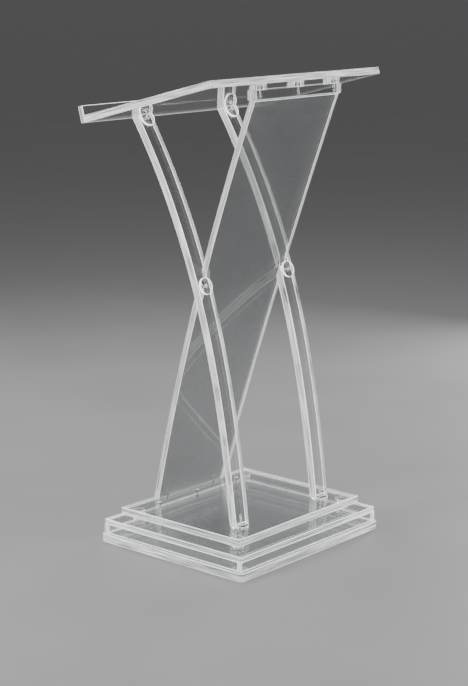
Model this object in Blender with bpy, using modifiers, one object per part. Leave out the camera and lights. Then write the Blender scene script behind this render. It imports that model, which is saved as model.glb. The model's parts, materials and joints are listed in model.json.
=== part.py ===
"""A clear acrylic lectern: a tiered base, two curved legs crossing a frosted panel, and a sloping desk."""

from math import cos, radians, sin

import bmesh
import bpy
from mathutils import Matrix, Vector

# Driving dimensions, in metres. X is the width, the audience is on the -Y side and the reader on the +Y side.
HEIGHT = 1.130
GAP = 0.0003
EDGE_BREAK, FINE_BREAK = 0.0010, 0.0005
SPARE = 0.010

BASE_W, BASE_D, BASE_T, BASE_CORNER_R = 0.515, 0.450, 0.020, 0.012
FOOT_H, FOOT_R, FOOT_INSET = 0.005, 0.016, 0.045
BOX_W, BOX_D, BOX_WALL, BOX_WALL_H = 0.502, 0.437, 0.010, 0.0236
LID_T, LID_CORNER_R = 0.012, 0.005
SPACER_R, SPACER_H, SPACER_INSET = 0.015, 0.0100, 0.030
DECK_W, DECK_D, DECK_T, DECK_CORNER_R = 0.447, 0.377, 0.018, 0.003

DESK_W, DESK_L, DESK_T, DESK_TILT = 0.600, 0.3952, 0.016, radians(14.0)
DESK_HIGH_Y, DESK_CORNER_R = -0.1744, 0.003
LIP_T, LIP_ABOVE, LIP_ROUND = 0.0145, 0.023, 0.0025

LEG_X, LEG_W, LEG_T, LEG_STEPS = 0.148, 0.045, 0.020, 30
LEG_FOOT_Y, LEG_FOOT_SLOPE = -0.1238, 0.116
LEG_HEAD_Y, LEG_HEAD_Z, LEG_HEAD_SLOPE = 0.1962, 1.058, 0.685
FOOT_DISC_R, FOOT_DISC_H = 0.022, 0.004

PANEL_T, PANEL_STEPS, PANEL_SIDE_STEPS = 0.015, 24, 12
PANEL_FOOT_Y, PANEL_FOOT_SLOPE = 0.171, -0.279
PANEL_HEAD_Y, PANEL_HEAD_Z, PANEL_HEAD_SLOPE = -0.165, 1.078, -0.402
PANEL_FOOT_HALF, PANEL_WAIST_HALF, PANEL_HEAD_HALF = 0.119, 0.143, 0.149

RAIL_W, RAIL_D, RAIL_H = 0.300, 0.026, 0.022
WEDGE_W, WEDGE_D = 0.034, 0.022
CAP_R, CAP_T, BOSS_R, BOSS_T = 0.020, 0.006, 0.0205, 0.006
WAIST_Z, HEAD_BOLT_Z = 0.643, 1.015
BOLT_R, BOLT_HEAD_R, BOLT_HEAD_H, BORE_CLEARANCE = 0.0030, 0.0055, 0.0030, 0.0004
BOLT_GRIP, BORE_PAST = 0.75, 0.0005
REAR_BOLT_X, REAR_BOLT_Y, REAR_BOLT_SHORT = 0.136, 0.145, 0.004
LEG_BOLT_GRIP, RAIL_BOLT_X, RAIL_BOLT_L = 0.025, 0.130, 0.0407
PANEL_SCREW_X, PANEL_SCREW_L = 0.085, 0.018
ROUND, BORE_SIDES, BOLT_SIDES = 28, 16, 16
WIDE = 0.4

BASE_TOP = FOOT_H + GAP + BASE_T
BOX_TOP = BASE_TOP + GAP + BOX_WALL_H
LID_TOP = BOX_TOP + GAP + LID_T
DECK_BOTTOM = LID_TOP + 2 * GAP + SPACER_H
DECK_TOP = DECK_BOTTOM + DECK_T
LEG_BOTTOM = DECK_TOP + 2 * GAP + FOOT_DISC_H
UP = Vector((0, 0, 1))
DESK_DOWN = Vector((0, cos(DESK_TILT), -sin(DESK_TILT)))
DESK_UP = Vector((0, sin(DESK_TILT), cos(DESK_TILT)))
DESK_HIGH = Vector((0, DESK_HIGH_Y, HEIGHT))


def clear_scene():
    for obj in list(bpy.data.objects):
        bpy.data.objects.remove(obj)


def collection(name, hidden=False):
    made = bpy.data.collections.new(name)
    made.hide_render = hidden
    bpy.context.scene.collection.children.link(made)
    return made


def material(name, color, roughness, metallic=0.0, transmission=0.0):
    made = bpy.data.materials.new(name)
    made.use_nodes = True
    shader = made.node_tree.nodes["Principled BSDF"]
    shader.inputs["Base Color"].default_value = (*color, 1)
    shader.inputs["Roughness"].default_value = roughness
    shader.inputs["Metallic"].default_value = metallic
    shader.inputs["Transmission Weight"].default_value = transmission
    shader.inputs["IOR"].default_value = 1.49
    return made


clear_scene()
PARTS = collection("presentation_lectern")
CUTTERS = collection("cutters", hidden=True)
CLEAR = material("clear_acrylic", (0.93, 0.96, 0.96), 0.03, transmission=1.0)
FROSTED = material("frosted_acrylic", (0.80, 0.82, 0.83), 0.55, transmission=0.6)
STEEL = material("bolt_steel", (0.72, 0.72, 0.74), 0.25, metallic=1.0)
PAD = material("foot_pad", (0.75, 0.77, 0.78), 0.6)


def add(name, mesh, slot=None):
    """Puts the mesh in the scene: a part when it has a material, otherwise a cutter."""
    obj = bpy.data.objects.new(name, mesh)
    if slot:
        mesh.materials.append(slot)
        PARTS.objects.link(obj)
    else:
        CUTTERS.objects.link(obj)
        obj.hide_render = True
        obj.display_type = "WIRE"
    return obj


def mesh_from(name, shape):
    mesh = bpy.data.meshes.new(name)
    shape.normal_update()
    shape.to_mesh(mesh)
    shape.free()
    return mesh


def soften(obj, width=EDGE_BREAK, segments=1):
    bevel = obj.modifiers.new("broken_edges", "BEVEL")
    bevel.width = width
    bevel.segments = segments
    bevel.limit_method = "ANGLE"
    bevel.angle_limit = radians(40)
    return obj


def boolean(obj, cutter, operation="DIFFERENCE"):
    cut = obj.modifiers.new(cutter.name, "BOOLEAN")
    cut.operation = operation
    cut.object = cutter
    cut.solver = "EXACT"


def block(name, low, high, slot=None, corner_radius=0.0):
    """A box between two corners; its upright edges are rounded when a radius is given."""
    shape = bmesh.new()
    bmesh.ops.create_cube(shape, size=1)
    size = [b - a for a, b in zip(low, high)]
    bmesh.ops.scale(shape, vec=size, verts=shape.verts)
    if corner_radius:
        upright = [e for e in shape.edges if abs(e.verts[0].co.z - e.verts[1].co.z) > size[2] / 2]
        bmesh.ops.bevel(shape, geom=upright, offset=corner_radius, segments=6, profile=0.5, affect="EDGES")
    obj = add(name, mesh_from(name, shape), slot)
    obj.location = [(a + b) / 2 for a, b in zip(low, high)]
    return obj


def plate(name, width, depth, bottom, top, corner_radius=0.0):
    low, high = (-width / 2, -depth / 2, bottom), (width / 2, depth / 2, top)
    return soften(block(name, low, high, CLEAR, corner_radius))


def rod(name, start, direction, length, radius, slot=None, sides=ROUND):
    """A cylinder that starts at a point and runs along a direction."""
    shape = bmesh.new()
    bmesh.ops.create_cone(
        shape, cap_ends=True, segments=sides, radius1=radius, radius2=radius, depth=length
    )
    obj = add(name, mesh_from(name, shape), slot)
    obj.rotation_mode = "QUATERNION"
    direction = Vector(direction).normalized()
    obj.rotation_quaternion = direction.to_track_quat("Z", "Y")
    obj.location = Vector(start) + direction * length / 2
    return obj


def bolt(name, head_at, direction, length):
    """A pan-head bolt: a turned profile whose head sits on head_at and whose shank runs along direction."""
    profile = [
        (0, BOLT_HEAD_H), (BOLT_HEAD_R * 0.72, BOLT_HEAD_H), (BOLT_HEAD_R, BOLT_HEAD_H * 0.45),
        (BOLT_HEAD_R, GAP), (BOLT_R, GAP), (BOLT_R, -length + BOLT_R * 0.4),
        (BOLT_R * 0.6, -length), (0, -length),
    ]
    mesh = bpy.data.meshes.new(name)
    points = [(x, 0, z) for x, z in profile]
    mesh.from_pydata(points, [(i, i + 1) for i in range(len(points) - 1)], [])
    obj = add(name, mesh, STEEL)
    turn = obj.modifiers.new("turned", "SCREW")
    turn.steps = turn.render_steps = BOLT_SIDES
    turn.use_merge_vertices = True
    turn.merge_threshold = 0.00005
    obj.rotation_mode = "QUATERNION"
    obj.rotation_quaternion = (-Vector(direction)).to_track_quat("Z", "Y")
    obj.location = head_at
    return obj


def bore(name, pieces, head, direction, length):
    """Drills each piece along a bolt: from a little before the bolt's head to just past its end."""
    direction = Vector(direction)
    for piece in pieces:
        cutter = rod(
            f"{name}_{piece.name}", head - direction * SPARE, direction, length + SPARE + BORE_PAST,
            BOLT_R + BORE_CLEARANCE, sides=BORE_SIDES,
        )
        boolean(piece, cutter)


def curve_points(start, start_slope, end, end_slope, steps):
    """Points (y, z) and slopes dy/dz of a cubic between two ends, evenly spaced in height."""
    (y0, z0), (y1, z1) = start, end
    rise = z1 - z0
    found = []
    for i in range(steps + 1):
        t = i / steps
        a, b = 2 * t**3 - 3 * t**2 + 1, t**3 - 2 * t**2 + t
        c, d = -2 * t**3 + 3 * t**2, t**3 - t**2
        y = a * y0 + b * rise * start_slope + c * y1 + d * rise * end_slope
        da, db = 6 * t**2 - 6 * t, 3 * t**2 - 4 * t + 1
        dc, dd = -6 * t**2 + 6 * t, 3 * t**2 - 2 * t
        slope = (da * y0 + dc * y1) / rise + db * start_slope + dd * end_slope
        found.append((y, z0 + t * rise, slope))
    return found


def strip_outline(centre_line, thickness):
    """The outline of a bent sheet seen from the side, half the thickness to each side of its centre line."""
    front, back = [], []
    for y, z, slope in centre_line:
        normal = Vector((1, -slope)).normalized() * thickness / 2
        back.append((y + normal.x, z + normal.y))
        front.append((y - normal.x, z - normal.y))
    return back + front[::-1]


def prism(name, outline, half, across, slot=None):
    """A flat outline drawn as a filled 2D curve, extruded to both sides and turned to lie across X or Y."""
    curve = bpy.data.curves.new(name, "CURVE")
    curve.dimensions = "2D"
    curve.fill_mode = "BOTH"
    curve.extrude = half
    line = curve.splines.new("POLY")
    line.points.add(len(outline) - 1)
    for point, (u, v) in zip(line.points, outline):
        point.co = (u, v, 0, 1)
    line.use_cyclic_u = True
    drawn = bpy.data.objects.new(name + "_outline", curve)
    CUTTERS.objects.link(drawn)
    graph = bpy.context.evaluated_depsgraph_get()
    mesh = bpy.data.meshes.new_from_object(drawn.evaluated_get(graph))
    bpy.data.objects.remove(drawn)
    shape = bmesh.new()
    shape.from_mesh(mesh)
    bmesh.ops.remove_doubles(shape, verts=shape.verts, dist=0.00001)
    axes = {"X": ((0, 0, 1), (1, 0, 0), (0, 1, 0)), "Y": ((1, 0, 0), (0, 0, -1), (0, 1, 0))}[across]
    shape.transform(Matrix(axes).to_4x4())
    bmesh.ops.recalc_face_normals(shape, faces=shape.faces)
    mesh.clear_geometry()
    shape.to_mesh(mesh)
    shape.free()
    mesh.materials.clear()
    mesh.name = name
    return add(name, mesh, slot)


def on_desk(along, across_x=0.0, above=0.0):
    """A point on the desk's top face, measured down the slope from its high edge."""
    return DESK_HIGH + DESK_DOWN * along + DESK_UP * above + Vector((across_x, 0, 0))


def leg_line():
    """The legs' centre line, from a little below their feet to above the desk's underside."""
    start = (LEG_FOOT_Y - LEG_FOOT_SLOPE * SPARE, LEG_BOTTOM - SPARE)
    return curve_points(start, LEG_FOOT_SLOPE, (LEG_HEAD_Y, LEG_HEAD_Z), LEG_HEAD_SLOPE, LEG_STEPS)


def leg_at(height):
    """Point and unit normal towards the audience of the legs' centre line at a height."""
    for (y0, z0, slope0), (y1, z1, slope1) in zip(leg_line(), leg_line()[1:]):
        if z0 <= height <= z1:
            t = (height - z0) / (z1 - z0)
            normal = Vector((0, -1, slope0 + t * (slope1 - slope0))).normalized()
            return Vector((0, y0 + t * (y1 - y0), height)), normal


def desk_cutter():
    """Everything above the desk's underside."""
    cutter = block("above_underside", (-WIDE, -DESK_L, 0), (WIDE, DESK_L, DESK_L))
    cutter.rotation_euler.x = -DESK_TILT
    cutter.location = on_desk(DESK_L / 2, above=-DESK_T - GAP + DESK_L / 2)
    return cutter


def leg_foot_cutter():
    return block("below_legs", (-WIDE, -WIDE, LEG_BOTTOM - WIDE), (WIDE, WIDE, LEG_BOTTOM))


def make_base():
    plate("bottom_plate", BASE_W, BASE_D, FOOT_H + GAP, BASE_TOP, BASE_CORNER_R)
    for side, sx in (("left", -1), ("right", 1)):
        for end, sy in (("front", -1), ("back", 1)):
            x, y = sx * (BASE_W / 2 - FOOT_INSET), sy * (BASE_D / 2 - FOOT_INSET)
            soften(rod(f"foot_{end}_{side}", (x, y, 0), UP, FOOT_H, FOOT_R, PAD))
            x, y = sx * (DECK_W / 2 - SPACER_INSET), sy * (DECK_D / 2 - SPACER_INSET)
            spacer = rod(f"spacer_{end}_{side}", (x, y, LID_TOP + GAP), UP, SPACER_H, SPACER_R, CLEAR)
            soften(spacer, FINE_BREAK)


def make_box():
    low, high = BASE_TOP + GAP, BOX_TOP
    w, d, t = BOX_W / 2, BOX_D / 2, BOX_WALL
    soften(block("box_wall_front", (-w, -d, low), (w, -d + t, high), CLEAR), FINE_BREAK)
    soften(block("box_wall_back", (-w, d - t, low), (w, d, high), CLEAR), FINE_BREAK)
    for side, sx in (("left", -1), ("right", 1)):
        inner, outer = sorted((sx * (w - t), sx * w))
        wall = block(f"box_wall_{side}", (inner, -d + t + GAP, low), (outer, d - t - GAP, high), CLEAR)
        soften(wall, FINE_BREAK)
    lid = plate("box_lid", BOX_W, BOX_D, BOX_TOP + GAP, LID_TOP, LID_CORNER_R)
    deck = plate("deck_plate", DECK_W, DECK_D, DECK_BOTTOM, DECK_TOP, DECK_CORNER_R)
    for side, sx in (("left", -1), ("middle", 0), ("right", 1)):
        head = Vector((sx * REAR_BOLT_X, REAR_BOLT_Y, DECK_TOP))
        length = DECK_TOP - BOX_TOP - REAR_BOLT_SHORT
        bolt(f"rear_bolt_{side}", head, -UP, length)
        bore(f"rear_bore_{side}", (deck, lid), head, -UP, length)
    return deck


def make_legs(deck, above, below):
    foot, _ = leg_at(LEG_BOTTOM)
    for side, sx in (("left", -1), ("right", 1)):
        x = sx * LEG_X
        disc = rod(f"foot_disc_{side}", (x, foot.y, DECK_TOP + GAP), UP, FOOT_DISC_H, FOOT_DISC_R, CLEAR)
        soften(disc, FINE_BREAK)
        leg = prism(f"leg_{side}", strip_outline(leg_line(), LEG_T), LEG_W / 2, "X", CLEAR)
        leg.location.x = x
        boolean(leg, above)
        boolean(leg, below)
        reach = DECK_T + FOOT_DISC_H + LEG_BOLT_GRIP
        head = Vector((x, foot.y, DECK_BOTTOM))
        bolt(f"leg_foot_bolt_{side}", head, UP, reach)
        bore(f"foot_bore_{side}", (deck, disc, leg), head, UP, reach)
        fix_to_leg(f"waist_cap_{side}", f"waist_bolt_{side}", x, WAIST_Z, CAP_R, CAP_T, leg)
        boss = fix_to_leg(f"head_boss_{side}", f"head_bolt_{side}", x, HEAD_BOLT_Z, BOSS_R, BOSS_T, leg)
        boolean(boss, above)
        soften(leg)


def fix_to_leg(disc_name, bolt_name, x, height, radius, thickness, leg):
    """A clear disc on the leg's audience face, with a bolt through it into the leg."""
    at, outward = leg_at(height)
    face = at + outward * (LEG_T / 2 + GAP) + Vector((x, 0, 0))
    disc = rod(disc_name, face, outward, thickness, radius, CLEAR)
    head, length = face + outward * thickness, thickness + LEG_T * BOLT_GRIP
    bolt(bolt_name, head, -outward, length)
    bore(bolt_name.replace("bolt", "bore"), (disc, leg), head, -outward, length)
    return soften(disc)


def panel_half(z):
    """Half the panel's width: a smooth curve through its foot, waist and head."""
    t = (z - DECK_TOP) / (PANEL_HEAD_Z - DECK_TOP)
    foot, waist, head = PANEL_FOOT_HALF, PANEL_WAIST_HALF, PANEL_HEAD_HALF
    return foot * (1 - t) * (1 - 2 * t) + 4 * waist * t * (1 - t) + head * t * (2 * t - 1)


def make_panel(deck):
    start = (PANEL_FOOT_Y - PANEL_FOOT_SLOPE * SPARE, DECK_TOP - SPARE)
    end = (PANEL_HEAD_Y + PANEL_HEAD_SLOPE * SPARE, PANEL_HEAD_Z + SPARE)
    line = curve_points(start, PANEL_FOOT_SLOPE, end, PANEL_HEAD_SLOPE, PANEL_STEPS)
    panel = prism("front_panel", strip_outline(line, PANEL_T), WIDE / 2, "X", FROSTED)
    low, high = DECK_TOP + GAP, PANEL_HEAD_Z
    heights = [low + (high - low) * i / PANEL_SIDE_STEPS for i in range(PANEL_SIDE_STEPS + 1)]
    right = [(panel_half(z), z) for z in heights]
    outline = right + [(-x, z) for x, z in right[::-1]]
    boolean(panel, prism("panel_front_outline", outline, WIDE, "Y"), "INTERSECT")
    for side, sx in (("left", -1), ("right", 1)):
        passing = strip_outline(leg_line(), LEG_T + 4 * GAP)
        notch = prism(f"panel_notch_{side}", passing, LEG_W / 2 + 2 * GAP, "X")
        notch.location.x = sx * LEG_X
        boolean(panel, notch)
        at, outward = leg_at(WAIST_Z)
        under_cap = at + Vector((notch.location.x, 0, 0))
        boolean(panel, rod(f"cap_relief_{side}", under_cap, outward, LEG_T + CAP_T + PANEL_T, CAP_R + GAP))
        head = Vector((sx * PANEL_SCREW_X, PANEL_FOOT_Y + PANEL_FOOT_SLOPE * PANEL_SCREW_L / 2, DECK_BOTTOM))
        reach = DECK_T + PANEL_SCREW_L
        bolt(f"panel_screw_{side}", head, UP, reach)
        bore(f"panel_bore_{side}", (deck, panel), head, UP, reach)
    soften(panel)


def make_head_rail(desk, above):
    """The rail on the panel's head, the wedges that its bolts pass, and the bolts' heads sunk into the desk."""
    recesses = []
    top = PANEL_HEAD_Z + GAP + RAIL_H
    rail = block(
        "head_rail", (-RAIL_W / 2, PANEL_HEAD_Y - RAIL_D / 2, PANEL_HEAD_Z + GAP),
        (RAIL_W / 2, PANEL_HEAD_Y + RAIL_D / 2, top), CLEAR,
    )
    along = (Vector((0, PANEL_HEAD_Y, top)) - DESK_HIGH).dot(DESK_DOWN)
    for side, sx in (("left", -1), ("middle", 0), ("right", 1)):
        x = sx * RAIL_BOLT_X
        wedge = block(
            f"rail_wedge_{side}", (x - WEDGE_W / 2, PANEL_HEAD_Y - WEDGE_D / 2, top + GAP),
            (x + WEDGE_W / 2, PANEL_HEAD_Y + WEDGE_D / 2, top + 2 * SPARE), CLEAR,
        )
        boolean(wedge, above)
        head = on_desk(along, x, -BOLT_HEAD_H - GAP)
        bolt(f"rail_bolt_{side}", head, -DESK_UP, RAIL_BOLT_L)
        bore(f"rail_bore_{side}", (desk, wedge, rail), head, -DESK_UP, RAIL_BOLT_L)
        depth, radius = BOLT_HEAD_H + SPARE, BOLT_HEAD_R + BORE_CLEARANCE
        recesses.append(rod(f"rail_head_recess_{side}", head, DESK_UP, depth, radius))
        soften(wedge, FINE_BREAK)
    soften(rail)
    soften(desk)
    for recess in recesses:
        boolean(desk, recess)


def make_desk():
    desk = block("desk_plate", (-DESK_W / 2, 0, -DESK_T), (DESK_W / 2, DESK_L, 0), CLEAR, DESK_CORNER_R)
    desk.rotation_euler.x = -DESK_TILT
    desk.location = on_desk(DESK_L / 2, above=-DESK_T / 2)
    lip = block("book_stop_lip", (-DESK_W / 2, 0, -DESK_T), (DESK_W / 2, LIP_T, LIP_ABOVE), CLEAR)
    lip.rotation_euler.x = -DESK_TILT
    lip.location = on_desk(DESK_L + GAP + LIP_T / 2, above=(LIP_ABOVE - DESK_T) / 2)
    soften(lip, LIP_ROUND, segments=3)
    return desk


def smooth_round_pieces():
    """Shades every part smooth across its shallow angles and keeps its real edges sharp."""
    for obj in PARTS.objects:
        obj.data.shade_smooth()
        obj.data.set_sharp_from_angle(angle=radians(30))


above_underside = desk_cutter()
deck_plate = make_box()
make_base()
make_legs(deck_plate, above_underside, leg_foot_cutter())
make_panel(deck_plate)
make_head_rail(make_desk(), above_underside)
smooth_round_pieces()
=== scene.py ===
"""Looks of the presentation lectern: polished sheets, a frosted panel, turned discs and socket bolts."""

import json
from math import cos, pi, radians, sin, tau

import bmesh
import bpy
import numpy as np
from mathutils import Matrix, Vector


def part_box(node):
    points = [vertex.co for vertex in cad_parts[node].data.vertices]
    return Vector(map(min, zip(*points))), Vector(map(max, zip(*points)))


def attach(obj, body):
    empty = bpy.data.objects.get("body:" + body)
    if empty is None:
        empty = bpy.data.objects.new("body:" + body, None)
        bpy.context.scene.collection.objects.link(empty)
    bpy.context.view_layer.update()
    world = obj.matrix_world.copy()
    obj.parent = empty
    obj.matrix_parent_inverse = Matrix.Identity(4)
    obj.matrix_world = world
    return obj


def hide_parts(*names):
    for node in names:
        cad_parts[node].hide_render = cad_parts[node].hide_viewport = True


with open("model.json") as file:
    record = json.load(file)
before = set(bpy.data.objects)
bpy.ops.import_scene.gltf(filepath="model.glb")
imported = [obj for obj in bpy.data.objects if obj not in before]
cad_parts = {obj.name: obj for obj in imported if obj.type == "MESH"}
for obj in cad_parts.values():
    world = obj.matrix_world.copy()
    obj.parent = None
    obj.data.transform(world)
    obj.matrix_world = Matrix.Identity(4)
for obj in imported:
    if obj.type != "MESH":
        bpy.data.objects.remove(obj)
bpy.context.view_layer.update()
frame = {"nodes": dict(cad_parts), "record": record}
NODES = frame["nodes"]
X, Y, Z = Vector((1, 0, 0)), Vector((0, 1, 0)), Vector((0, 0, 1))
DESK_UP = Vector(next(m["axis"] for m in frame["record"]["mounts"] if m["name"] == "desk_top"))
DESK_DOWN = Vector((0, DESK_UP.z, -DESK_UP.y))
DESK_TILT = -Y.angle(DESK_DOWN)

# Sizes of the finish, in metres
GAP, WELD = 0.0003, 0.000002
ROUNDING = 0.0003
FROST_MARGIN = 0.008
CROSSING_REACH = 0.06
RIM, DOME = 0.0008, 0.0010
KNURL, KNURLS = 0.0004, 44
BORE_REACH, BORE_CLEARANCE = 0.0065, 0.0004
SOCKET, SOCKET_DEPTH = 0.0021, 0.0019
PITCH, THREAD = 0.0010, 0.0004
EDGE_RUN = 0.018

# How near a face's normal is to its sheet's axis, and the angles from which edges are sharp or rounded
FACE_LEAN, CORNER_LEAN = 0.75, 0.45
SHARP_FROM, ROUNDED_FROM = radians(22), radians(30)

# Each finish's place in its piece's list
FACE, EDGE, BROKEN, FROST = 0, 1, 2, 3
ACRYLIC_IOR, PAD_IOR = 1.49, 1.45


# Camera, floor and lights

def make_camera():
    data = bpy.data.cameras.new("camera")
    camera = bpy.data.objects.new("camera", data)
    bpy.context.scene.collection.objects.link(camera)
    bpy.context.scene.camera = camera
    camera.location = (-3.089, -2.690, 1.398)
    pitch, turn, roll = radians(90 - 12.794), radians(-49.234), radians(0.039)
    camera.rotation_mode = "QUATERNION"
    aim = Matrix.Rotation(turn, 3, "Z") @ Matrix.Rotation(pitch, 3, "X") @ Matrix.Rotation(-roll, 3, "Z")
    camera.rotation_quaternion = aim.to_quaternion()
    data.sensor_width = 36
    data.lens = 92.21
    data.shift_x, data.shift_y = -0.0222, 0.0101
    data.clip_end = 400


def make_floor():
    """A wide pale floor with a satin finish and the faint mottle of seamless paper."""
    shape = bmesh.new()
    bmesh.ops.create_circle(shape, cap_ends=True, segments=128, radius=120)
    mesh = bpy.data.meshes.new("floor")
    shape.to_mesh(mesh)
    shape.free()
    floor = bpy.data.objects.new("floor", mesh)
    bpy.context.scene.collection.objects.link(floor)
    floor.location.z = -0.0002
    made = material("pale_floor", Specular_IOR_Level=0.35)
    tree, shader, where = parts_of(made)
    mottle = noise(tree, where, 3.0, 4.0)
    tint(tree, mottle, shader, (0.31, 0.31, 0.314), (0.325, 0.325, 0.329))
    tree.links.new(spread(tree, mottle, 0.50, 0.62), shader.inputs["Roughness"])
    mesh.materials.append(made)


def area_light(name, at, target, width, height, power):
    data = bpy.data.lights.new(name, "AREA")
    data.shape = "RECTANGLE"
    data.size, data.size_y = width, height
    data.energy = power
    light = bpy.data.objects.new(name, data)
    light.location = at
    light.rotation_mode = "QUATERNION"
    light.rotation_quaternion = (Vector(target) - Vector(at)).to_track_quat("-Z", "Y")
    light.visible_camera = False
    bpy.context.scene.collection.objects.link(light)


def make_lights():
    """A soft overhead box and four upright strips, which the cut edges catch from every side."""
    world = bpy.data.worlds.new("studio")
    world.use_nodes = True
    world.node_tree.nodes["Background"].inputs["Color"].default_value = (0.20, 0.20, 0.204, 1)
    bpy.context.scene.world = world
    middle = (0, 0, 0.7)
    area_light("overhead", (0, 0, 3.6), (0, 0, 0), 3.0, 3.0, 95)
    area_light("left_strip", (-2.5, 0.5, 1.1), middle, 0.4, 1.7, 48)
    area_light("front_strip", (0.5, -2.6, 1.1), middle, 0.4, 1.7, 28)
    area_light("right_strip", (2.5, 0.4, 1.1), middle, 0.4, 1.7, 28)
    area_light("back_strip", (-0.3, 2.6, 1.1), middle, 0.4, 1.7, 28)


# Materials

def material(name, **values):
    made = bpy.data.materials.new(name)
    made.use_nodes = True
    shader = made.node_tree.nodes["Principled BSDF"]
    for key, value in values.items():
        shader.inputs[key.replace("_", " ")].default_value = value
    return made


def node(tree, kind, **values):
    made = tree.nodes.new(kind)
    for name, value in values.items():
        setattr(made, name, value)
    return made


def parts_of(made, coordinates="Object"):
    """The tree, the Principled node and the coordinates to draw the pattern in."""
    tree = made.node_tree
    return tree, tree.nodes["Principled BSDF"], node(tree, "ShaderNodeTexCoord").outputs[coordinates]


def noise(tree, vector, scale, detail=2.0):
    made = node(tree, "ShaderNodeTexNoise")
    made.inputs["Scale"].default_value = scale
    made.inputs["Detail"].default_value = detail
    tree.links.new(vector, made.inputs["Vector"])
    return made.outputs["Fac"]


def stretched(tree, vector, squeeze, turn=0.0):
    """The coordinates turned about X and squeezed along each axis: 0.02 packs a pattern 50 times closer."""
    made = node(tree, "ShaderNodeMapping", vector_type="TEXTURE")
    made.inputs["Rotation"].default_value = (turn, 0, 0)
    made.inputs["Scale"].default_value = squeeze
    tree.links.new(vector, made.inputs["Vector"])
    return made.outputs["Vector"]


def spread(tree, source, low, high, from_low=0.3, from_high=0.7):
    made = node(tree, "ShaderNodeMapRange")
    made.inputs["From Min"].default_value = from_low
    made.inputs["From Max"].default_value = from_high
    made.inputs["To Min"].default_value = low
    made.inputs["To Max"].default_value = high
    tree.links.new(source, made.inputs["Value"])
    return made.outputs["Result"]


def tint(tree, source, shader, dark, light, sockets=("Base Color",)):
    """Colours the shader from dark to light over the middle of a noise's range."""
    ramp = node(tree, "ShaderNodeValToRGB")
    low, high = ramp.color_ramp.elements
    low.position, high.position = 0.32, 0.68
    low.color, high.color = (*dark, 1), (*light, 1)
    tree.links.new(source, ramp.inputs["Fac"])
    for socket in sockets:
        tree.links.new(ramp.outputs["Color"], shader.inputs[socket])


def bump(tree, shader, height, strength, distance):
    made = node(tree, "ShaderNodeBump")
    made.inputs["Strength"].default_value = strength
    made.inputs["Distance"].default_value = distance
    tree.links.new(height, made.inputs["Height"])
    tree.links.new(made.outputs["Normal"], shader.inputs["Normal"])


def let_light_through(tree, surface, passing):
    """Lamps and bounced light pass straight through, so that clear sheet throws only a faint shadow."""
    path = node(tree, "ShaderNodeLightPath")
    either = node(tree, "ShaderNodeMath", operation="MAXIMUM")
    tree.links.new(path.outputs["Is Shadow Ray"], either.inputs[0])
    tree.links.new(path.outputs["Is Diffuse Ray"], either.inputs[1])
    open_way = node(tree, "ShaderNodeBsdfTransparent")
    open_way.inputs["Color"].default_value = (*passing, 1)
    mix = node(tree, "ShaderNodeMixShader")
    tree.links.new(either.outputs[0], mix.inputs[0])
    tree.links.new(surface, mix.inputs[1])
    tree.links.new(open_way.outputs[0], mix.inputs[2])
    tree.links.new(mix.outputs[0], tree.nodes["Material Output"].inputs["Surface"])


def clear_face():
    """A polished sheet face: the slow ripple of cast sheet, and hairline scratches from wiping."""
    made = material("clear_face", Transmission_Weight=1.0, IOR=ACRYLIC_IOR)
    tree, shader, where = parts_of(made)
    shader.inputs["Base Color"].default_value = (0.98, 0.988, 0.988, 1)
    scratches = noise(tree, stretched(tree, where, (0.03, 1, 1), 0.4), 16, 5.0)
    tree.links.new(spread(tree, scratches, 0.0, 0.05, 0.55, 0.75), shader.inputs["Roughness"])
    bump(tree, shader, noise(tree, where, 5), 0.15, 0.0006)
    let_light_through(tree, shader.outputs[0], (0.95, 0.96, 0.96))
    return made


def painted_glow_edge(name, squeeze, turn=0.0, coordinates="Object"):
    """A polished cut edge: painted glow for the light its sheet gathers, in painted light and dark streaks
    along it.
    """
    made = material(name, Transmission_Weight=0.45, IOR=ACRYLIC_IOR, Emission_Strength=0.8)
    tree, shader, where = parts_of(made, coordinates)
    marks = noise(tree, stretched(tree, where, squeeze, turn), 11, 5.0)
    # Painted shade and painted glow: the streaks darken the base colour to 0.10 and light the emission up to
    # white; roughness and bump keep them as polishing marks.
    tint(tree, marks, shader, (0.10, 0.105, 0.11), (1.0, 1.0, 1.0), ("Base Color", "Emission Color"))
    tree.links.new(spread(tree, marks, 0.24, 0.05), shader.inputs["Roughness"])
    bump(tree, shader, marks, 0.25, 0.0002)
    return made


def painted_highlight_corner():
    """A broken corner, flame-polished, with a painted glow and painted highlight that draw a white line
    round each sheet.
    """
    made = material("painted_highlight_corner", Transmission_Weight=0.2, IOR=ACRYLIC_IOR, Emission_Strength=1.8)
    tree, shader, where = parts_of(made)
    flecks = noise(tree, where, 160, 3.0)
    # Painted highlight: base and emission colour flecked from 0.86 to white.
    tint(tree, flecks, shader, (0.86, 0.87, 0.87), (1.0, 1.0, 1.0), ("Base Color", "Emission Color"))
    tree.links.new(spread(tree, flecks, 0.04, 0.14), shader.inputs["Roughness"])
    return made


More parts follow.
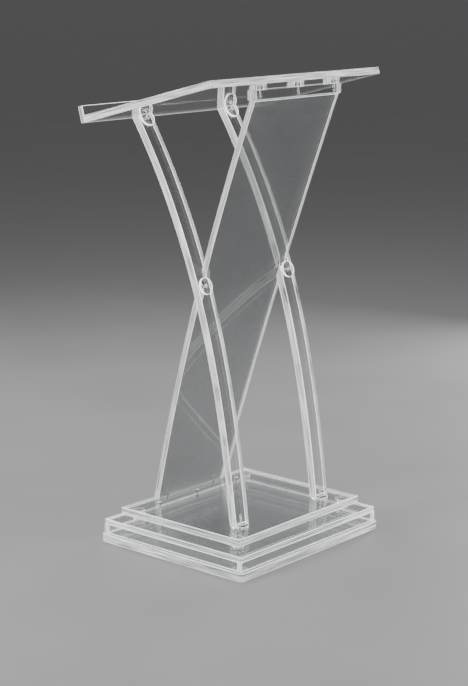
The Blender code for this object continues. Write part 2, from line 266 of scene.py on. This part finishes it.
def frosted_face():
    """The frosted back of the panel: a fine grey grain that veils what stands behind it."""
    made = material("frosted_face", Transmission_Weight=0.25, IOR=ACRYLIC_IOR)
    tree, shader, where = parts_of(made)
    grain = noise(tree, where, 1400, 3.0)
    tint(tree, noise(tree, where, 6, 3.0), shader, (0.115, 0.117, 0.119), (0.140, 0.142, 0.144))
    tree.links.new(spread(tree, grain, 0.40, 0.58), shader.inputs["Roughness"])
    bump(tree, shader, grain, 0.3, 0.0001)
    smooth = node(tree, "ShaderNodeBsdfPrincipled")
    smooth.inputs["Transmission Weight"].default_value = 1.0
    smooth.inputs["IOR"].default_value = ACRYLIC_IOR
    smooth.inputs["Roughness"].default_value = 0.02
    smooth.inputs["Base Color"].default_value = (0.95, 0.955, 0.96, 1)
    veil = node(tree, "ShaderNodeMixShader")
    veil.inputs[0].default_value = 0.40
    tree.links.new(shader.outputs[0], veil.inputs[1])
    tree.links.new(smooth.outputs[0], veil.inputs[2])
    let_light_through(tree, veil.outputs[0], (0.60, 0.605, 0.61))
    return made


def steel():
    """Bright stainless steel with fine turning marks."""
    made = material("bolt_steel", Metallic=1.0)
    tree, shader, where = parts_of(made)
    marks = noise(tree, where, 900, 3.0)
    tint(tree, marks, shader, (0.74, 0.74, 0.75), (0.86, 0.86, 0.87))
    tree.links.new(spread(tree, marks, 0.12, 0.30), shader.inputs["Roughness"])
    bump(tree, shader, marks, 0.2, 0.00005)
    return made


def pad():
    """A translucent grey elastomer with a dusty bloom."""
    made = material("foot_pad", Transmission_Weight=0.3, IOR=PAD_IOR)
    tree, shader, where = parts_of(made)
    bloom = noise(tree, where, 420, 4.0)
    tint(tree, bloom, shader, (0.66, 0.68, 0.69), (0.78, 0.80, 0.81))
    tree.links.new(spread(tree, bloom, 0.42, 0.66), shader.inputs["Roughness"])
    bump(tree, shader, bloom, 0.3, 0.0001)
    return made


CLEAR = clear_face()
# The corner finish carries a painted glow and painted highlight.
CORNER = painted_highlight_corner()
FROSTED = frosted_face()
STEEL = steel()
PAD = pad()
# Cut-edge finishes that glow by painted emission, with painted streaks of light and shade run along each
# edge.
EDGE_LEVEL = painted_glow_edge("cut_edge_level", (1, 1, 0.02))
EDGE_SIDE = painted_glow_edge("cut_edge_side", (0.02, 1, 1))
EDGE_FRONT = painted_glow_edge("cut_edge_front", (1, 0.02, 1))
EDGE_DESK = painted_glow_edge("cut_edge_desk", (1, 1, 0.02), DESK_TILT)
EDGE_LIP = painted_glow_edge("cut_edge_lip", (1, 0.02, 1), DESK_TILT)
EDGE_BENT = painted_glow_edge("cut_edge_bent", (1, 0.02, 1), coordinates="UV")


# What the frame says about the bolts and the panel

def points_of(name):
    """The corners of a node's solid, each one once."""
    found = np.empty(len(NODES[name].data.vertices) * 3, np.float32)
    NODES[name].data.vertices.foreach_get("co", found)
    return np.unique(found.reshape(-1, 3).round(6).astype(float), axis=0)


class Axle:
    """A bolt's own line: it starts at the middle of the head's top and runs towards the tip."""

    def __init__(self, name):
        points = points_of(name)
        middle = points.mean(0)
        along = np.linalg.eigh(np.cov((points - middle).T))[1][:, -1]
        run = (points - middle) @ along
        out = np.linalg.norm(points - middle - run[:, None] * along, axis=1)
        if run[out > out.max() - GAP].mean() > 0:
            along, run = -along, -run
        self.along = Vector(along)
        self.start = Vector(middle + run.min() * along)
        self.length = float(run.max() - run.min())
        self.head = float(out.max())
        self.seat = float(run[out > out.max() - GAP].max() - run.min())
        self.shank = float(out[run > 0].max())

    def distance(self, point):
        away = point - self.start
        return (away - away.dot(self.along) * self.along).length

    def covers(self, point):
        run = (point - self.start).dot(self.along)
        return -self.head < run < self.length + self.head and self.distance(point) < BORE_REACH


AXLES = {name: Axle(name) for name in NODES if "bolt" in name or "screw" in name}
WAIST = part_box("waist_cap_left")
CROSSING = (WAIST[0][2] - CROSSING_REACH, WAIST[1][2] + CROSSING_REACH)


def panel_half_width():
    """The panel's half width at a height, from its outline away from the notches."""
    mesh = NODES["front_panel"].data
    bolts = AXLES["panel_screw_right"].start.x + BORE_REACH
    sides = [p for p in mesh.polygons if abs(p.normal.x) > FACE_LEAN and abs(p.center.x) > bolts]
    corners = [mesh.vertices[i].co for p in sides for i in p.vertices]
    outline = [(c.z, abs(c.x)) for c in corners if not CROSSING[0] < c.z < CROSSING[1]]
    curve = np.polyfit(*zip(*outline), 2)
    return lambda height: float(np.polyval(curve, height))


# Pieces

def show(name, shape, finishes, rounding=ROUNDING):
    """Stands a finished shape in for a node and fixes it to the frame."""
    for face in shape.faces:
        face.smooth = True
    mesh = bpy.data.meshes.new(name + "_visual")
    shape.to_mesh(mesh)
    shape.free()
    for finish in finishes:
        mesh.materials.append(finish)
    piece = bpy.data.objects.new(name + "_visual", mesh)
    bpy.context.scene.collection.objects.link(piece)
    mesh.set_sharp_from_angle(angle=SHARP_FROM)
    if rounding:
        bevel = piece.modifiers.new("rounding", "BEVEL")
        bevel.width = rounding
        bevel.segments = 2
        bevel.limit_method = "ANGLE"
        bevel.angle_limit = ROUNDED_FROM
        shading = piece.modifiers.new("shading", "WEIGHTED_NORMAL")
        shading.keep_sharp = True
    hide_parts(name)
    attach(piece, "root")


def solid_of(name, flat=0.2):
    """The node's own solid, with the triangles of each flat face merged."""
    shape = bmesh.new()
    shape.from_mesh(NODES[name].data)
    bmesh.ops.remove_doubles(shape, verts=shape.verts, dist=WELD)
    bmesh.ops.dissolve_limit(shape, angle_limit=radians(flat), verts=shape.verts, edges=shape.edges)
    shape.normal_update()
    return shape


def finish_faces(shape, across):
    """Tells faces, cut edges and broken corners apart by how far each leans from the sheet's own axis."""
    for face in shape.faces:
        lean = abs(face.normal @ across)
        face.material_index = FACE if lean > FACE_LEAN else BROKEN if lean > CORNER_LEAN else EDGE
        if face.material_index and any(axle.covers(face.calc_center_median()) for axle in AXLES.values()):
            face.material_index = FACE


def sheet(name, across, edge):
    shape = solid_of(name)
    finish_faces(shape, across)
    show(name, shape, (CLEAR, edge, CORNER))


def unroll(shape):
    """UVs of a bent sheet, in metres: up its length, and from its front face to its back."""
    uv = shape.loops.layers.uv.new("run")
    for face in shape.faces:
        for loop in face.loops:
            loop[uv].uv = (loop.vert.co.z, EDGE_RUN * (loop.vert.normal.y > 0))


def bent_leg(name):
    shape = solid_of(name)
    finish_faces(shape, Y)
    unroll(shape)
    show(name, shape, (CLEAR, EDGE_BENT, CORNER))


def frosted_panel(name):
    """The panel: clear in front, frosted on the back up to a clear margin, and plain where it is notched."""
    half = panel_half_width()
    shape = solid_of(name, 0.02)
    for side in (-1, 1):
        for face in [f for f in shape.faces if f.normal.y > FACE_LEAN]:
            split_margin(shape, face, half, side)
    shape.normal_update()
    finish_faces(shape, Y)
    for face in shape.faces:
        middle = face.calc_center_median()
        inside = abs(middle.x) < half(middle.z) - FROST_MARGIN
        if face.material_index == FACE and face.normal.y > 0 and inside:
            face.material_index = FROST
        elif face.material_index and CROSSING[0] < middle.z < CROSSING[1] and inside:
            face.material_index = FACE
    unroll(shape)
    show(name, shape, (CLEAR, EDGE_BENT, CORNER, FROSTED))


def split_margin(shape, face, half, side):
    """Cuts a face of the panel's back along the line where the frosting stops."""
    heights = [v.co.z for v in face.verts]
    y = face.calc_center_median().y
    low, high = (Vector((side * (half(z) - FROST_MARGIN), y, z)) for z in (min(heights), max(heights)))
    across = (high - low).cross(face.normal).normalized()
    near = [face, *face.edges, *face.verts]
    bmesh.ops.bisect_plane(shape, geom=near, plane_co=low, plane_no=across, dist=WELD)


def reach(kind, radius, angle):
    """How far out a point of a turned profile lies: round, knurled, or on a hexagon's flats."""
    if kind == "hex":
        return radius / cos((angle + pi / 6) % (pi / 3) - pi / 6)
    if kind == "knurl":
        return radius - KNURL * (0.5 - 0.5 * cos(KNURLS * angle))
    return radius


def turned(profile, at, along, sides, closed):
    """A shape turned from (kind, radius, height) points; a closed profile leaves a bore in the middle."""
    shape = bmesh.new()
    rings = []
    for step in range(sides):
        angle = tau * step / sides
        out = Vector((cos(angle), sin(angle), 0))
        rings.append([shape.verts.new(out * reach(kind, r, angle) + Z * h) for kind, r, h in profile])
    for near, far in zip(rings, rings[1:] + rings[:1]):
        for i in range(len(profile) if closed else len(profile) - 1):
            j = (i + 1) % len(profile)
            shape.faces.new((near[i], far[i], far[j], near[j]))
    bmesh.ops.remove_doubles(shape, verts=shape.verts, dist=WELD)
    bmesh.ops.recalc_face_normals(shape, faces=shape.faces)
    shape.transform(Matrix.Translation(at) @ along.to_track_quat("Z", "Y").to_matrix().to_4x4())
    return shape


def rim(kind, radius, height, fillet=RIM, steps=4):
    """The rounded rim of a disc, from its top face round to its bottom one."""
    turns = [pi / 2 * i / steps for i in range(steps + 1)]
    top = [(kind, radius - fillet + fillet * sin(a), height - fillet + fillet * cos(a)) for a in turns]
    bottom = [(kind, radius - fillet + fillet * cos(a), fillet - fillet * sin(a)) for a in turns]
    return top + bottom


def upright(name):
    """The middle of a node's underside, its height and its radius, from its box."""
    low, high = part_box(name)
    at = Vector(((low[0] + high[0]) / 2, (low[1] + high[1]) / 2, low[2]))
    return at, high[2] - low[2], (high[0] - low[0]) / 2


def clear_disc(name, axle, along):
    """A plain clear disc with a rounded rim, bored where its bolt runs through it."""
    at, height, radius = measured(name, axle, along)
    bore = axle.shank + BORE_CLEARANCE
    profile = [("round", bore, 0), ("round", bore, height)] + rim("round", radius, height)
    shape = turned(profile, at, along, 96, closed=True)
    paint_rim_highlight(shape, along, 0.2)
    show(name, shape, (CLEAR, EDGE_LEVEL, CORNER), rounding=0)


def spacer(name):
    at, height, radius = upright(name)
    profile = [("round", 0, height)] + rim("round", radius, height) + [("round", 0, 0)]
    shape = turned(profile, at, Z, 96, closed=False)
    paint_rim_highlight(shape, Z, 0.2)
    show(name, shape, (CLEAR, EDGE_LEVEL, CORNER), rounding=0)


def knurled_cap(name, axle):
    """A crowned cap with a knurled rim; one that reaches the desk is trimmed to its underside."""
    along = -axle.along
    at, height, radius = measured(name, axle, along)
    bore = axle.shank + BORE_CLEARANCE
    profile = [("round", bore, 0), ("round", bore, height), ("round", radius * 0.62, height - DOME * 0.3)]
    profile += rim("knurl", radius, height - DOME)
    shape = turned(profile, at, along, 4 * KNURLS, closed=True)
    paint_rim_highlight(shape, along, 0.0)
    if name.startswith("head_boss"):
        trim_to_desk(shape)
    show(name, shape, (CLEAR, EDGE_LEVEL, CORNER), rounding=0)


def measured(name, axle, along):
    """Where a disc on a bolt starts, how high it is and how far it reaches."""
    points = [Vector(p) for p in points_of(name)]
    run = [(p - axle.start).dot(along) for p in points]
    return axle.start + along * min(run), max(run) - min(run), max(axle.distance(p) for p in points)


def paint_rim_highlight(shape, along, least):
    """Gives the rounded corner of a disc the painted highlight finish; with no least lean, its whole rim."""
    centre = sum((v.co for v in shape.verts), Vector()) / len(shape.verts)
    outer = max((v.co - centre).length for v in shape.verts)
    for face in shape.faces:
        lean = abs(face.normal @ along)
        far = (face.calc_center_median() - centre).length > outer * 0.85
        face.material_index = BROKEN if far and least <= lean < 0.9 else FACE


def trim_to_desk(shape):
    """Cuts off what would reach into the desk and closes the cut."""
    under = min(Vector(p) @ DESK_UP for p in points_of("desk_plate")) - GAP
    everything = [*shape.verts, *shape.edges, *shape.faces]
    cut = bmesh.ops.bisect_plane(
        shape, geom=everything, dist=WELD, plane_co=DESK_UP * under, plane_no=DESK_UP, clear_outer=True
    )
    bmesh.ops.holes_fill(shape, edges=[e for e in cut["geom_cut"] if isinstance(e, bmesh.types.BMEdge)])


def socket_bolt(name):
    """A button-head socket bolt with a rolled thread, turned about its own line."""
    axle = AXLES[name]
    head, seat, shank, end = axle.head, axle.seat, axle.shank, axle.length
    profile = [
        ("round", 0, -SOCKET_DEPTH - 0.0004), ("hex", SOCKET, -SOCKET_DEPTH), ("hex", SOCKET, -0.0002),
        ("hex", SOCKET + 0.0002, 0), ("round", head * 0.62, 0), ("round", head * 0.80, -seat * 0.12),
        ("round", head * 0.93, -seat * 0.34), ("round", head, -seat * 0.70), ("round", head, -seat),
        ("round", shank, -seat),
    ]
    plain = min(seat + 0.004, end - 3 * PITCH)
    turns = int((end - plain - PITCH) / PITCH)
    for i in range(turns):
        top = -plain - i * PITCH
        profile += [("round", shank, top), ("round", shank - THREAD, top - PITCH * 0.45)]
    profile += [("round", shank, -plain - turns * PITCH), ("round", shank * 0.7, -end), ("round", 0, -end)]
    shape = turned(profile, axle.start, -axle.along, 48, closed=False)
    show(name, shape, (STEEL,), rounding=0)


def foot_pad(name):
    """A floor pad with a rounded rim and a shallow ring pressed into its underside."""
    at, height, radius = upright(name)
    profile = [("round", 0, height)] + rim("round", radius, height, 2 * RIM)
    profile += [("round", radius * 0.7, 0), ("round", radius * 0.66, RIM), ("round", radius * 0.4, RIM)]
    profile += [("round", radius * 0.36, 0), ("round", 0, 0)]
    show(name, turned(profile, at, Z, 64, closed=False), (PAD,), rounding=0)


make_camera()
make_floor()
make_lights()

for name in ("bottom_plate", "box_lid", "deck_plate"):
    sheet(name, Z, EDGE_LEVEL)
for end in ("front", "back"):
    sheet(f"box_wall_{end}", Y, EDGE_FRONT)
for side in ("left", "right"):
    sheet(f"box_wall_{side}", X, EDGE_SIDE)
    bent_leg(f"leg_{side}")
    clear_disc(f"foot_disc_{side}", AXLES[f"leg_foot_bolt_{side}"], Z)
    knurled_cap(f"waist_cap_{side}", AXLES[f"waist_bolt_{side}"])
    knurled_cap(f"head_boss_{side}", AXLES[f"head_bolt_{side}"])
    for end in ("front", "back"):
        spacer(f"spacer_{end}_{side}")
        foot_pad(f"foot_{end}_{side}")
sheet("desk_plate", DESK_UP, EDGE_DESK)
sheet("book_stop_lip", DESK_DOWN, EDGE_LIP)
sheet("head_rail", Y, EDGE_FRONT)
for place in ("left", "middle", "right"):
    sheet(f"rail_wedge_{place}", Y, EDGE_FRONT)
frosted_panel("front_panel")
for name in sorted(AXLES):
    socket_bolt(name)
